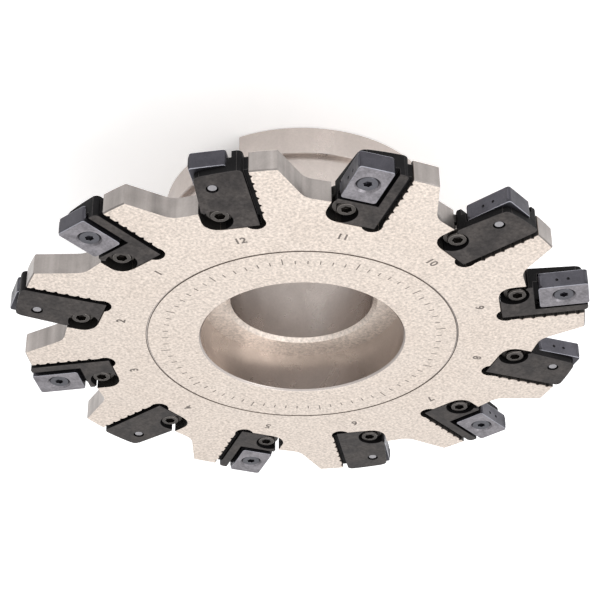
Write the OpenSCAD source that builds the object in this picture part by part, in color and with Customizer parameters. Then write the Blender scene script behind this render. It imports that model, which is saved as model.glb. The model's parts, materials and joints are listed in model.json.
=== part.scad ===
// Slotting and side-milling cutter, 160 mm, with twelve adjustable cassettes.
// Millimetres. The origin is the centre of the hub's back face, on the bore's axis.
// +Z runs out of the cutting face, and the two drive slots lie along X.

/* [Cutting size] */
// Diameter over the corners of the inserts
cut_d = 160; // [158:0.5:162]
// Height of the cutting face of the disc above the hub's back face
face_h = 44; // [40:0.5:50]
// Thickness of the disc
disc_t = 6.2; // [6:0.1:7]
// How far the inserts stand proud of each side of the disc
insert_proud = 0.4; // [0.3:0.1:1]

/* [Hub and arbor fit] */
// Diameter of the bore for the arbor
bore_d = 40; // [32:1:42]
// Diameter of the counterbore in the cutting face
counterbore_d = 56; // [50:1:58]
// Depth of the counterbore
counterbore_depth = 12.1; // [8:0.1:16]
// Diameter of the flange at the back of the hub
flange_d = 78; // [77:0.5:82]
// Thickness of the hub flange
flange_t = 9.4; // [8:0.1:14]
// Diameter of the hub between the flange and the disc
neck_d = 75.2; // [66:0.2:76]
// Width of the two drive slots
drive_slot_w = 16.4; // [10:0.1:18]
// Depth of the two drive slots
drive_slot_depth = 9; // [6:0.1:12]
// Diameter of the fine ring turned in the cutting face
ring_d = 85.6; // [82:0.2:96]

/* [Pockets and gullets] */
// Distance from the rim down to the pocket's floor
pocket_depth = 22.66; // [22:0.02:23]
// Angle that the pocket's trailing wall leans back from the radius
pocket_lean = 5.3; // [4:0.1:6]
// Distance from the pocket's trailing wall to its leading wall
pocket_w = 15.6; // [15.4:0.1:15.8]
// Radius of the round screw recess in the pocket's leading inner corner
recess_r = 4; // [3.9:0.05:4.1]
// Distance between the serrations of the trailing wall
serration_pitch = 3; // [2.4:0.1:3.2]
// Depth of the serrations
serration_depth = 0.6; // [0.3:0.05:0.8]
// Distance from the axis to the floor of the gullets
gullet_floor_r = 63.8; // [63:0.1:64.5]
// Radius between the gullet's floor and its sloping flank
gullet_fillet_r = 5; // [3:0.1:6]
// Angle between the gullet's flank and its floor
gullet_flank_angle = 45; // [40:1:48]

/* [Cassettes] */
// Gap between the cassette and the walls of its pocket
cassette_gap = 0.1; // [0.08:0.01:0.15]
// Width of the open step along the cassette's trailing side
step_w = 1.4; // [1:0.1:1.6]
// Depth of that step below each side of the disc
step_depth = 1.2; // [0.8:0.1:1.4]
// How far the cassette's outer end stands proud of the disc's rim
cassette_proud = 1; // [0.3:0.1:1.2]
// Angle by which the cassette narrows towards its outer end
cassette_taper = 4.5; // [2:0.5:5]

/* [Inserts] */
// Length of the insert, along the radius
insert_l = 13.2; // [12.8:0.1:13.4]
// Width of the insert, along the cut
insert_w = 9.3; // [9:0.1:9.4]
// Thickness of the insert, along the axis
insert_t = 4.8; // [4.4:0.1:5]
// Radius of the insert's corners
insert_corner_r = 0.8; // [0.4:0.1:1.2]
// Width of the open gap beside the upper part of the insert
seat_relief = 1.3; // [0.5:0.1:1.4]

/* [Screws] */
// Radius of the insert screw's head
insert_head_r = 2.7; // [2.4:0.1:2.8]
// Radius of the insert screw's thread
insert_thread_r = 1.5; // [1.3:0.1:1.6]
// Radius of the adjusting screw's thread
adjust_thread_r = 1.6; // [1.4:0.1:1.8]
// Radius of the flange on the adjusting screw
adjust_flange_r = 3.6; // [3.5:0.05:3.7]
// Radius of the adjusting screw's head above its flange
adjust_head_r = 2.6; // [2.2:0.1:2.8]

/* [Hidden] */
$fn = 96;
eps = 0.01;
teeth = 12;
pitch_angle = 360 / teeth;
first_pocket_angle = 7.5;

tip_r = cut_d / 2;
disc_r = tip_r - 2.5;
disc_z0 = face_h - disc_t;
mid_z = face_h - disc_t / 2;
edge_chamfer = 0.3;
through = 2 * disc_t;

// The pocket's own frame: its origin is the trailing inner corner, x runs out along the trailing wall,
// and y runs across the pocket towards the leading side.
corner_x = disc_r - pocket_depth;
corner_y = -5.52;
pocket_out = pocket_depth + 4;
axis_in_pocket = [-corner_x * cos(pocket_lean) + corner_y * sin(pocket_lean),
                  -corner_x * sin(pocket_lean) - corner_y * cos(pocket_lean)];
recess_at = [recess_r + 0.05, pocket_w - recess_r];
corner_relief_r = 2.7;
corner_relief_at = [corner_relief_r / 2, 2.4];
lug_z0 = disc_z0 + 0.4;
lug_z1 = disc_z0 + 2.8;

// Serrations along the trailing wall
serration_start = 5.4;
serration_count = floor((pocket_depth - serration_start - 1) / serration_pitch) + 1;

// Cassette
cassette_in = 2 * cassette_gap;
cassette_r = disc_r + cassette_proud;
lead_y0 = 15.45;
lead_round_r = 1.6;
trail_round_r = 1.3;
lead_sagitta = 1;
trail_sagitta = 0.1;
hole_clearance = 0.05;

// Insert: tip_angle is how far its cutting corner leads the pocket's radius, and insert_at is its inner
// trailing corner in the pocket's frame
tip_angle = 4.88;
insert_top = face_h + insert_proud;
insert_at = [tip_in_pocket()[0] - insert_l, tip_in_pocket()[1] - insert_w];
insert_mid = insert_at + [insert_l, insert_w] / 2;
seat_z = insert_top - insert_t;
seat_wall_h = 2.5;
seat_corner_r = 0.9;
countersink_r = insert_head_r + 0.35;
countersink_depth = 1.7;

// Adjusting screw
adjust_at = recess_at + [0.85, -0.9];
adjust_flange_z0 = disc_z0 + 3.4;
adjust_flange_z1 = adjust_flange_z0 + 1.1;
adjust_head_z = face_h - 0.6;

// The insert's sharp corner in the pocket's frame, placed so that the rounded corner just reaches the
// cutting diameter
function tip_in_pocket() =
    let (
        lean = pocket_lean + tip_angle,
        reach = tip_r + insert_corner_r * (cos(lean) + sin(lean) - 1),
        t = [reach * cos(tip_angle) - corner_x, reach * sin(tip_angle) - corner_y]
    )
    [t[0] * cos(pocket_lean) - t[1] * sin(pocket_lean),
     t[0] * sin(pocket_lean) + t[1] * cos(pocket_lean)];

// The cassette's leading side, as y at a distance x out from the pocket's floor
function lead_y_at(x) = lead_y0 - x * tan(cassette_taper);

function face_side(k) = k % 2 == 0;
function two_digits(n) = n < 10 ? str("0", n) : str(n);
function numbered(name, k) = str(name, "_", two_digits(k + 1));
function all_numbered(name) = [for (k = [0 : teeth - 1]) numbered(name, k)];

// Puts its children in the frame of pocket k
module in_pocket(k) {
    rotate([0, 0, first_pocket_angle + k * pitch_angle])
        translate([corner_x, corner_y, 0])
            rotate([0, 0, -pocket_lean])
                children();
}

// Turns its children over about the disc's middle plane for the pockets that cut on the hub side
module handed(k) {
    if (face_side(k)) {
        children();
    } else {
        translate([0, 0, 2 * mid_z]) mirror([0, 0, 1]) children();
    }
}

// Zigzag line of the serrations: notches of the given depth, cut back from y = level
function serration_line(level, depth) = [
    for (i = [0 : serration_count - 1], step = [-1, 0, 1])
        [serration_start + i * serration_pitch + step * depth, step == 0 ? level - depth : level]
];

// Outline of a pocket as it is above the lug that carries the adjusting screw
module pocket_outline() {
    polygon(concat(
        [[0, 0]],
        serration_line(0, serration_depth),
        [[pocket_out, 0], [pocket_out, pocket_w], [recess_at[0], pocket_w], recess_at, [0, recess_at[1]]]
    ));
    translate(recess_at) circle(r = recess_r);
    translate(corner_relief_at) circle(r = corner_relief_r);
}

// Chip space in front of a cassette, in the frame of the pocket's own radius
module gullet_outline() {
    floor_start = 8;
    pocket_side = 4;
    pocket_side_r = gullet_floor_r + 6;
    flank_foot = 16.1;
    flank_l = 24;
    outside_r = disc_r + 8;
    tangent = gullet_fillet_r * tan(gullet_flank_angle / 2);
    arc_at = [gullet_floor_r + gullet_fillet_r, flank_foot - tangent];
    flank = [sin(gullet_flank_angle), cos(gullet_flank_angle)];
    foot = [gullet_floor_r, flank_foot];
    polygon([
        [gullet_floor_r, floor_start],
        [gullet_floor_r, arc_at[1]],
        arc_at,
        foot + tangent * flank,
        foot + flank_l * flank,
        [outside_r, (foot + flank_l * flank)[1]],
        [outside_r, pocket_side],
        [pocket_side_r, pocket_side]
    ]);
    translate(arc_at) circle(r = gullet_fillet_r);
}

// Turned profile of the whole body: hub flange, neck, disc, counterbore and bore
module body_profile() {
    bore_r = bore_d / 2;
    flange_r = flange_d / 2;
    neck_r = neck_d / 2;
    ring_r = ring_d / 2;
    counterbore_r = counterbore_d / 2;
    ledge_z = face_h - counterbore_depth;
    bore_chamfer = 1;
    ledge_chamfer_w = 1.2;
    flange_chamfer = 0.8;
    counterbore_chamfer = 0.5;
    ring_half_w = 0.2;
    ring_z = face_h - 0.25;
    neck_fillet = 1.6;
    neck_facet = 0.3 * neck_fillet;
    polygon([
        [bore_r + bore_chamfer, 0],
        [flange_r - flange_chamfer, 0],
        [flange_r, flange_chamfer],
        [flange_r, flange_t - edge_chamfer],
        [flange_r - edge_chamfer, flange_t],
        [neck_r, flange_t],
        [neck_r, disc_z0 - neck_fillet],
        [neck_r + neck_facet, disc_z0 - neck_facet],
        [neck_r + neck_fillet, disc_z0],
        [disc_r - edge_chamfer, disc_z0],
        [disc_r, disc_z0 + edge_chamfer],
        [disc_r, face_h - edge_chamfer],
        [disc_r - edge_chamfer, face_h],
        [ring_r + ring_half_w, face_h],
        [ring_r + ring_half_w, ring_z],
        [ring_r - ring_half_w, ring_z],
        [ring_r - ring_half_w, face_h],
        [counterbore_r + counterbore_chamfer, face_h],
        [counterbore_r, face_h - counterbore_chamfer],
        [counterbore_r, ledge_z],
        [bore_r + ledge_chamfer_w, ledge_z],
        [bore_r, ledge_z - bore_chamfer],
        [bore_r, bore_chamfer]
    ]);
}

module cutter_body() {
    color([0.86, 0.83, 0.79])
    difference() {
        rotate_extrude() body_profile();
        for (k = [0 : teeth - 1]) {
            rotate([0, 0, first_pocket_angle + k * pitch_angle])
                translate([0, 0, mid_z - through / 2])
                    linear_extrude(through) gullet_outline();
            in_pocket(k) pocket_cut();
        }
        for (side = [0, 180]) {
            rotate([0, 0, side])
                translate([0, -drive_slot_w / 2, -1])
                    cube([flange_d, drive_slot_w, drive_slot_depth + 1]);
        }
    }
}

// What is cut from the disc for one pocket, leaving the lug for the adjusting screw
module pocket_cut() {
    difference() {
        translate([0, 0, mid_z - through / 2]) linear_extrude(through) pocket_outline();
        translate([recess_at[0], recess_at[1], lug_z0])
            cylinder(r = recess_r, h = lug_z1 - lug_z0);
    }
    translate([adjust_at[0], adjust_at[1], disc_z0 - 1])
        cylinder(r = adjust_thread_r + hole_clearance, h = disc_t);
}

// Outline of a cassette between its open step and its leading side
module cassette_outline() {
    near = recess_at[0] + recess_r;
    intersection() {
        polygon([
            [cassette_in, step_w],
            [pocket_out, step_w],
            [pocket_out, lead_y_at(pocket_out)],
            [near, lead_y_at(near)],
            recess_at,
            [cassette_in, recess_at[1]]
        ]);
        translate(axis_in_pocket) circle(r = cassette_r);
        outer_corners();
    }
}

// Rounds the two outer corners of the cassette
module outer_corners() {
    end_x = axis_in_pocket[0] + cassette_r;
    trail_x = end_x - trail_round_r - trail_sagitta;
    lead_x = end_x - lead_round_r - lead_sagitta;
    trail_y = step_w + trail_round_r;
    lead_y = lead_y_at(lead_x + lead_round_r) - lead_round_r;
    translate([-1, 0]) square([lead_x + 1, pocket_w]);
    translate([-1, 0]) square([trail_x + 1, lead_y]);
    translate([-1, trail_y]) square([end_x + 1, lead_y - trail_y]);
    translate([trail_x, trail_y]) circle(r = trail_round_r);
    translate([lead_x, lead_y]) circle(r = lead_round_r);
}

// Serrated tongue in the middle of the cassette's thickness
module cassette_tongue() {
    start_x = 3.2;
    end_x = serration_start + (serration_count - 0.5) * serration_pitch;
    root_y = step_w + 1;
    polygon(concat(
        [[start_x, cassette_gap]],
        serration_line(cassette_gap, serration_depth),
        [[end_x, cassette_gap], [end_x, root_y], [start_x, root_y]]
    ));
}

module cassette(k) {
    color([0.2, 0.2, 0.21])
    in_pocket(k)
    difference() {
        union() {
            translate([0, 0, disc_z0]) linear_extrude(disc_t) cassette_outline();
            translate([0, 0, disc_z0 + step_depth])
                linear_extrude(disc_t - 2 * step_depth) cassette_tongue();
        }
        handed(k) insert_seat();
        translate([recess_at[0], recess_at[1], disc_z0 - 1])
            cylinder(r = recess_r + cassette_gap, h = through);
        translate([adjust_at[0], adjust_at[1], adjust_flange_z0 - hole_clearance])
            cylinder(
                r = adjust_flange_r + cassette_gap,
                h = adjust_flange_z1 - adjust_flange_z0 + 2 * hole_clearance
            );
    }
}

// Seat cut for an insert on the face side, with its relief gap, corner relief and screw hole
module insert_seat() {
    open = 20;
    translate([insert_at[0], insert_at[1], seat_z]) cube([open, open, insert_t + 1]);
    translate([insert_at[0] - seat_relief, insert_at[1] - seat_relief, seat_z + seat_wall_h])
        cube([open, open, insert_t]);
    translate([insert_at[0], insert_at[1], seat_z]) cylinder(r = seat_corner_r, h = insert_t);
    translate([insert_mid[0], insert_mid[1], disc_z0 - 1])
        cylinder(r = insert_thread_r + hole_clearance, h = disc_t);
}

module insert_outline() {
    translate(insert_at) {
        translate([insert_corner_r, 0]) square([insert_l - 2 * insert_corner_r, insert_w]);
        translate([0, insert_corner_r]) square([insert_l, insert_w - 2 * insert_corner_r]);
        for (x = [insert_corner_r, insert_l - insert_corner_r]) {
            for (y = [insert_corner_r, insert_w - insert_corner_r]) {
                translate([x, y]) circle(r = insert_corner_r);
            }
        }
    }
}

module insert(k) {
    color([0.5, 0.51, 0.55])
    in_pocket(k)
    handed(k)
    difference() {
        translate([0, 0, seat_z]) linear_extrude(insert_t) insert_outline();
        translate([insert_mid[0], insert_mid[1], seat_z - 1])
            cylinder(r = insert_thread_r + 0.25, h = insert_t + 2);
        translate([insert_mid[0], insert_mid[1], insert_top - countersink_depth])
            cylinder(r1 = insert_thread_r + 0.25, r2 = countersink_r, h = countersink_depth + eps);
    }
}

module insert_screw(k) {
    end_z = disc_z0 + 0.3;
    head_z = insert_top - 0.35;
    head_edge_r = insert_head_r - 0.05;
    rim_h = 0.2;
    cone_h = 1.25;
    lead_in = 0.4;
    socket_r = 1.2;
    socket_depth = 1.1;
    color([0.32, 0.32, 0.34])
    in_pocket(k)
    handed(k)
    translate([insert_mid[0], insert_mid[1], 0])
    difference() {
        union() {
            translate([0, 0, end_z])
                cylinder(r1 = insert_thread_r - lead_in, r2 = insert_thread_r, h = lead_in);
            translate([0, 0, end_z + lead_in])
                cylinder(r = insert_thread_r, h = head_z - rim_h - end_z - lead_in);
            translate([0, 0, head_z - cone_h])
                cylinder(r1 = insert_thread_r, r2 = head_edge_r, h = cone_h - rim_h);
            translate([0, 0, head_z - rim_h]) cylinder(r = head_edge_r, h = rim_h);
        }
        translate([0, 0, head_z - socket_depth]) cylinder(r = socket_r, h = 2, $fn = 6);
    }
}

module adjusting_screw(k) {
    end_z = disc_z0 + 0.8;
    head_chamfer = 0.3;
    chamfer_z = adjust_head_z - head_chamfer;
    socket_r = 1.3;
    socket_depth = 1.4;
    color([0.3, 0.3, 0.31])
    in_pocket(k)
    translate([adjust_at[0], adjust_at[1], 0])
    difference() {
        union() {
            translate([0, 0, end_z])
                cylinder(r = adjust_thread_r, h = adjust_flange_z0 - end_z + eps);
            translate([0, 0, adjust_flange_z0])
                cylinder(r = adjust_flange_r, h = adjust_flange_z1 - adjust_flange_z0);
            translate([0, 0, adjust_flange_z1 - eps])
                cylinder(r = adjust_head_r, h = chamfer_z - adjust_flange_z1 + eps);
            translate([0, 0, chamfer_z])
                cylinder(r1 = adjust_head_r, r2 = adjust_head_r - head_chamfer, h = head_chamfer);
        }
        translate([0, 0, adjust_head_z - socket_depth]) cylinder(r = socket_r, h = 3, $fn = 6);
    }
}

cutter_body();
for (k = [0 : teeth - 1]) {
    cassette(k);
    insert(k);
    insert_screw(k);
    adjusting_screw(k);
}
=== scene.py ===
"""Looks of a slotting cutter with adjustable cassettes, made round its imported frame.

The file is laid out as an add-on: sizes and colours are properties, each kind of piece has an operator,
and the panel in the sidebar lists them. Pieces are worked in millimetres at the origin and then put in
their place in the frame, which is in metres.
"""

import json
import math

import bpy
from mathutils import Matrix, Vector


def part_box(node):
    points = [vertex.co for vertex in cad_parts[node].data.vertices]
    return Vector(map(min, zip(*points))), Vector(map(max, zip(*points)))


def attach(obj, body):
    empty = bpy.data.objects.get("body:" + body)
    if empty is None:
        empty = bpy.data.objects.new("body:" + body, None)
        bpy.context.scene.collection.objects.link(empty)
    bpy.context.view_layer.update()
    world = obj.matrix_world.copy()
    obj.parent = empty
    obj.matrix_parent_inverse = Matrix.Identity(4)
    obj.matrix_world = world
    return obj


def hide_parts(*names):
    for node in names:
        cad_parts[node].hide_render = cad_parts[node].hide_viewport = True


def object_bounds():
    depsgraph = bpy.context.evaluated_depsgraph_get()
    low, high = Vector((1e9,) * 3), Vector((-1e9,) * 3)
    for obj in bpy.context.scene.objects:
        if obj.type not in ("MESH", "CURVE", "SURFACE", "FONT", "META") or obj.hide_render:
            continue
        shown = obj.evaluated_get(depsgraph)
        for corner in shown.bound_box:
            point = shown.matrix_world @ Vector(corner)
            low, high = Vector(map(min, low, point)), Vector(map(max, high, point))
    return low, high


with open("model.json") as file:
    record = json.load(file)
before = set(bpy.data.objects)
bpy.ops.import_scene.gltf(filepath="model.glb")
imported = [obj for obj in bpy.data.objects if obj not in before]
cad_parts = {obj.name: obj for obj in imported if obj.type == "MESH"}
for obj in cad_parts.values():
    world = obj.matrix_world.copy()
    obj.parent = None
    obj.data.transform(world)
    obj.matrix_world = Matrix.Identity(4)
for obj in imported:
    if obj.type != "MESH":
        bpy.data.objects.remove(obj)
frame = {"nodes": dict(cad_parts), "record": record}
CAD_LOW, CAD_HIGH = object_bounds()

bl_info = {
    "name": "Cassette Slotting Cutter",
    "version": (1, 0, 0),
    "blender": (4, 5, 0),
    "location": "View3D > Sidebar > Cutter",
    "description": "Finishes the body, cassettes, inserts and screws of a slotting cutter",
    "category": "Object",
}

MM = 0.001
POCKETS = sum(name.startswith("cassette_") for name in frame["nodes"])
PITCH = 2 * math.pi / POCKETS
# How far the sides of the first insert are turned from the X axis.
FIRST_POCKET_TURN = math.radians(2.2)
# The pocket's own radius, on which its number stands, is this far on from its sides.
POCKET_LEAN = math.radians(5.3)
SMOOTH_ANGLE = math.radians(32)
SIDE_WALL_SLOPE = 0.6
# The body's material slots. The ring, milled, serrated and recess slots carry painted shade: they darken the
# groove, the steep walls and the pockets.
GROUND, RING_GROOVE_SHADE, WALLS_PAINTED_SHADE, BORED, SERRATIONS_SHADE, RECESS_SHADE = range(6)
# The insert's material slots; its outer face is ground too. The honed slot paints a highlight on the edges,
# and the ends, rake and dimples slots paint shade.
HONED_HIGHLIGHT, ENDS_SHADE, RAKE_SHADE, DIMPLES_SHADE = range(1, 5)
TURNED_SIDES = 48
# How much wider than the contrast asked for a noise is spread, because it seldom leaves its middle.
NOISE_SPREAD = 4.0
# A pocket's walls and serrations, in millimetres from its cassette's inner trailing corner.
INNER_WALL, TRAILING_WALL, LEADING_WALL = -2, -0.5, 16.2
SERRATIONS_START, SERRATIONS_DEPTH = 4.3, 0.8
# Lands and slopes of an insert's rake faces and outer face, in millimetres.
RAKE_LAND, RAKE_SLOPE = 0.55, 0.5
FACE_LAND, FACE_SLOPE, FACE_DROP = 0.34, 0.18, 0.08
# The pocket numbers stand this far aside of the pocket's own radius, in millimetres.
NUMBER_ASIDE = 2.6
# Ticks of the scale, in millimetres; one in so many is long.
TICK_LENGTH, LONG_TICK, TICK_WIDTH, TICKS_TO_LONG = 1.5, 2.6, 0.3, 6


# ---------------------------------------------------------------- sizes and colours


class CutterSizes(bpy.types.PropertyGroup):
    """Sizes of the finishing detail, in millimetres."""

    body_edge: bpy.props.FloatProperty(
        name="Body edge break",
        description="Width of the broken edges of the body, in millimetres",
        default=0.08, min=0.02, max=0.08,
    )
    ring_edge: bpy.props.FloatProperty(
        name="Ring edge break",
        description="Width of the broken edges of the fine ring, in millimetres",
        default=0.1, min=0.02, max=0.15,
    )
    cassette_edge: bpy.props.FloatProperty(
        name="Cassette edge break",
        description="Width of the broken edges of a cassette, in millimetres",
        default=0.08, min=0.02, max=0.08,
    )
    insert_edge: bpy.props.FloatProperty(
        name="Insert edge land",
        description="Width of the honed land along an insert's edges, in millimetres",
        default=0.16, min=0.03, max=0.3,
    )
    insert_corner: bpy.props.FloatProperty(
        name="Insert corner radius",
        description="Radius of an insert's four corners, in millimetres",
        default=0.8, min=0.4, max=1.2,
    )
    rake_depth: bpy.props.FloatProperty(
        name="Rake hollow",
        description="Depth of the hollow in an insert's rake faces, in millimetres",
        default=0.22, min=0.05, max=0.5,
    )
    dimple_radius: bpy.props.FloatProperty(
        name="Dimple radius",
        description="Radius of the two dimples in each rake face, in millimetres",
        default=0.42, min=0.2, max=0.6,
    )
    dimple_spacing: bpy.props.FloatProperty(
        name="Dimple spacing",
        description="Distance between the two dimples, in millimetres",
        default=3.0, min=1.5, max=6,
    )
    countersink_radius: bpy.props.FloatProperty(
        name="Countersink radius",
        description="Radius of an insert's countersink at its face, in millimetres",
        default=3.05, min=2.8, max=3.3,
    )
    thread_pitch: bpy.props.FloatProperty(
        name="Thread pitch",
        description="Pitch of the screws' threads, in millimetres",
        default=0.5, min=0.35, max=0.8,
    )
    number_height: bpy.props.FloatProperty(
        name="Number height",
        description="Height of the pocket numbers, in millimetres",
        default=3.3, min=1.5, max=5,
    )
    number_radius: bpy.props.FloatProperty(
        name="Number radius",
        description="Distance of the pocket numbers from the axis, in millimetres",
        default=50.0, min=46, max=52,
    )
    ring_radius: bpy.props.FloatProperty(
        name="Ring radius",
        description="Radius of the fine ring in the cutting face, in millimetres",
        default=42.8, min=41, max=48,
    )
    tick_radius: bpy.props.FloatProperty(
        name="Scale radius",
        description="Distance of the scale's ticks from the axis, in millimetres",
        default=37.0, min=31, max=41,
    )
    tick_count: bpy.props.IntProperty(
        name="Scale ticks",
        description="Number of ticks round the scale",
        default=72, min=12, max=120,
    )
    mark_height: bpy.props.FloatProperty(
        name="Mark thickness",
        description="How far the numbers and ticks stand on the face, in millimetres",
        default=0.015, min=0.005, max=0.05,
    )


def colour_property(name, description, default):
    """A colour that the panel can change."""
    return bpy.props.FloatVectorProperty(
        name=name, description=description, default=default, size=3, min=0, max=1, subtype="COLOR"
    )


class CutterColours(bpy.types.PropertyGroup):
    """Base colours of the finishes."""

    face: colour_property("Ground face", "Nickel finish of the cutting face", (0.74, 0.655, 0.587))
    # The wall colour is painted shade: the same nickel as the face, made much darker on the steep walls.
    wall: colour_property("Milled walls", "Nickel finish of the milled walls", (0.31, 0.283, 0.268))
    bore: colour_property("Bored walls", "Nickel finish inside the bore", (0.62, 0.56, 0.525))
    # The ring colour is painted shade in the fine groove of the cutting face.
    ring: colour_property("Turned ring", "Fine ring in the cutting face", (0.24, 0.20, 0.175))
    # The serrations and recess colours are painted shade: the pockets' serrated walls and recesses of the
    # nickel body are made near black.
    serrations: colour_property("Serrations", "Dark serrations of the pockets", (0.05, 0.045, 0.042))
    recess: colour_property("Recess", "Oil-darkened recesses of the pockets", (0.03, 0.027, 0.025))
    cassette: colour_property("Cassette", "Black finish of the cassettes' faces", (0.042, 0.037, 0.036))
    # The cassette side colour is painted shade: the sides of the same black oxide are made near black.
    cassette_side: colour_property("Cassette side", "Black of the cassettes' sides", (0.007, 0.0065, 0.007))
    cassette_edge: colour_property("Cassette edge", "Rubbed edges of a cassette", (0.055, 0.05, 0.05))
    insert: colour_property("Insert", "Ground faces of the inserts", (0.29, 0.275, 0.295))
    # The insert side and rake colours are painted shade, darker than the ground face on the upright faces.
    insert_side: colour_property("Insert side", "Coated ends of the inserts", (0.06, 0.058, 0.068))
    insert_rake: colour_property("Insert rake", "Coated rake faces of the inserts", (0.085, 0.083, 0.096))
    # The insert edge colour is a painted highlight on the honed lands, and, dimmed, on the insert screws'
    # edges.
    insert_edge: colour_property("Insert edge", "Honed edges of the inserts", (0.33, 0.33, 0.37))
    insert_screw: colour_property("Insert screw", "Finish of the insert screws", (0.13, 0.13, 0.145))
    # The screw end colour is a painted glint on the insert screws' end faces.
    screw_end_painted_glint: colour_property("Screw end", "Faced end of the insert screws", (0.36, 0.35, 0.365))
    setting_screw: colour_property("Setting screw", "Finish of the adjusting screws", (0.085, 0.077, 0.072))
    marks: colour_property("Marks", "Colour of the numbers and ticks", (0.24, 0.21, 0.19))
    floor: colour_property("Floor", "Colour of the floor", (0.93, 0.93, 0.93))


class CutterStage(bpy.types.PropertyGroup):
    """The camera's place and the light."""

    azimuth: bpy.props.FloatProperty(
        name="Azimuth",
        description="Direction that the camera looks in, from the Y axis towards -X",
        default=math.radians(52.5), subtype="ANGLE",
    )
    elevation: bpy.props.FloatProperty(
        name="Elevation",
        description="Height of the camera above the cutting face, as an angle",
        default=math.radians(33.08), subtype="ANGLE",
    )
    roll: bpy.props.FloatProperty(
        name="Roll",
        description="Turn of the camera about its own line of sight",
        default=math.radians(179.48), subtype="ANGLE",
    )
    distance: bpy.props.FloatProperty(
        name="Distance",
        description="Distance from the camera to the centre of the cutting face",
        default=0.4805, min=0.2, max=2, unit="LENGTH",
    )
    lens: bpy.props.FloatProperty(
        name="Lens",
        description="Focal length, in millimetres",
        default=104.46, min=30, max=300,
    )
    aim_right: bpy.props.FloatProperty(
        name="Aim right",
        description="How far the line of sight passes to the right of the face's centre",
        default=-0.0006, unit="LENGTH",
    )
    aim_up: bpy.props.FloatProperty(
        name="Aim up",
        description="How far the line of sight passes above the face's centre",
        default=0.01094, unit="LENGTH",
    )
    sky: bpy.props.FloatProperty(
        name="Sky",
        description="Strength of the even light from all round",
        default=1.0, min=0, max=3,
    )
    horizon: bpy.props.FloatProperty(
        name="Horizon",
        description="Share of the sky's strength that is left at the horizon",
        default=0.8, min=0, max=1,
    )
    dim_side: bpy.props.FloatProperty(
        name="Dim side",
        description="Share of the sky's strength that is left on its dimmer side",
        default=0.7, min=0, max=1,
    )
    floor_glow: bpy.props.FloatProperty(
        name="Floor glow",
        description="Light that the pale floor gives off, which fades the shadows on it",
        default=0.45, min=0, max=1,
    )
    key: bpy.props.FloatProperty(
        name="Key light",
        description="Power of the large soft light",
        default=2.2, min=0, max=50, unit="POWER",
    )


def sizes():
    return bpy.context.scene.cutter_sizes


def colours():
    return bpy.context.scene.cutter_colours


# ---------------------------------------------------------------- places in the frame


def numbered(name, pocket):
    return f"{name}_{pocket + 1:02d}"


def cutting_face():
    """Height of the cutting face in metres: the cassettes are level with it."""
    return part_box("cassette_01")[1].z


def cuts_on_face(pocket):
    """Pockets take turns: the first cuts on the face side, the next on the hub side."""
    return pocket % 2 == 0


def turned_box(node, turn):
    """Lowest and highest corner of a CAD node in axes turned about Z."""
    back = Matrix.Rotation(-turn, 4, "Z")
    points = [back @ v.co for v in frame["nodes"][node].data.vertices]
    low = Vector(min(p[i] for p in points) for i in range(3))
    high = Vector(max(p[i] for p in points) for i in range(3))
    return low, high


def pocket_place(node, pocket, flipped):
    """Matrix that puts a piece, worked in millimetres with its outer face on z = 0, in the node's place."""
    turn = FIRST_POCKET_TURN + pocket * PITCH
    low, high = turned_box(node, turn)
    outer = low.z if flipped else high.z
    turned = Matrix.Rotation(turn, 4, "Z")
    centre = turned @ Vector(((low.x + high.x) / 2, (low.y + high.y) / 2, outer))
    over = Matrix.Rotation(math.pi, 4, "X") if flipped else Matrix.Identity(4)
    return Matrix.Translation(centre) @ turned @ over @ Matrix.Scale(MM, 4)


def local_size(node):
    """Length, width and height along the first pocket's sides of a CAD node there, in millimetres."""
    low, high = turned_box(node, FIRST_POCKET_TURN)
    return (high - low) / MM


# ---------------------------------------------------------------- working by hand


def select_only(piece):
    """Leaves object mode's selection on one piece, or on nothing."""
    if bpy.context.object and bpy.context.object.mode != "OBJECT":
        bpy.ops.object.mode_set(mode="OBJECT")
    bpy.ops.object.select_all(action="DESELECT")
    if piece:
        piece.select_set(True)
    bpy.context.view_layer.objects.active = piece


def edit(piece, select="SELECT"):
    select_only(piece)
    bpy.ops.object.mode_set(mode="EDIT")
    bpy.ops.mesh.select_all(action=select)


def choose(piece, kind, wanted):
    """Selects the faces or edges of a piece in edit mode for which wanted() is true."""
    bpy.ops.object.mode_set(mode="EDIT")
    bpy.ops.mesh.select_mode(type={"faces": "FACE", "edges": "EDGE"}[kind])
    bpy.ops.mesh.select_all(action="DESELECT")
    bpy.ops.object.mode_set(mode="OBJECT")
    mesh = piece.data
    items = mesh.polygons if kind == "faces" else mesh.edges
    for item in items:
        item.select = wanted(mesh, item)
    bpy.ops.object.mode_set(mode="EDIT")


def apply_modifier(piece, kind, **settings):
    select_only(piece)
    modifier = piece.modifiers.new(kind.lower(), kind)
    for key, value in settings.items():
        setattr(modifier, key, value)
    bpy.ops.object.modifier_apply(modifier=modifier.name)


def break_edges(piece, width, slot=-1, angle=30, wanted=None):
    """Rounds over the sharp edges whose middle is wanted, and gives the new faces the material in slot."""
    edit(piece, "DESELECT")
    bpy.ops.mesh.select_mode(type="EDGE")
    bpy.ops.mesh.edges_select_sharp(sharpness=math.radians(angle))
    if wanted:
        bpy.ops.object.mode_set(mode="OBJECT")
        for edge in piece.data.edges:
            ends = [piece.data.vertices[i].co for i in edge.vertices]
            edge.select = edge.select and wanted((ends[0] + ends[1]) / 2)
        bpy.ops.object.mode_set(mode="EDIT")
    bpy.ops.mesh.bevel(
        offset=width, segments=2, affect="EDGES", clamp_overlap=False, material=slot, miter_outer="ARC"
    )
    select_only(piece)


def discard(*patterns):
    for pattern in patterns:
        mesh = pattern.data
        bpy.data.objects.remove(pattern)
        bpy.data.meshes.remove(mesh)


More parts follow.
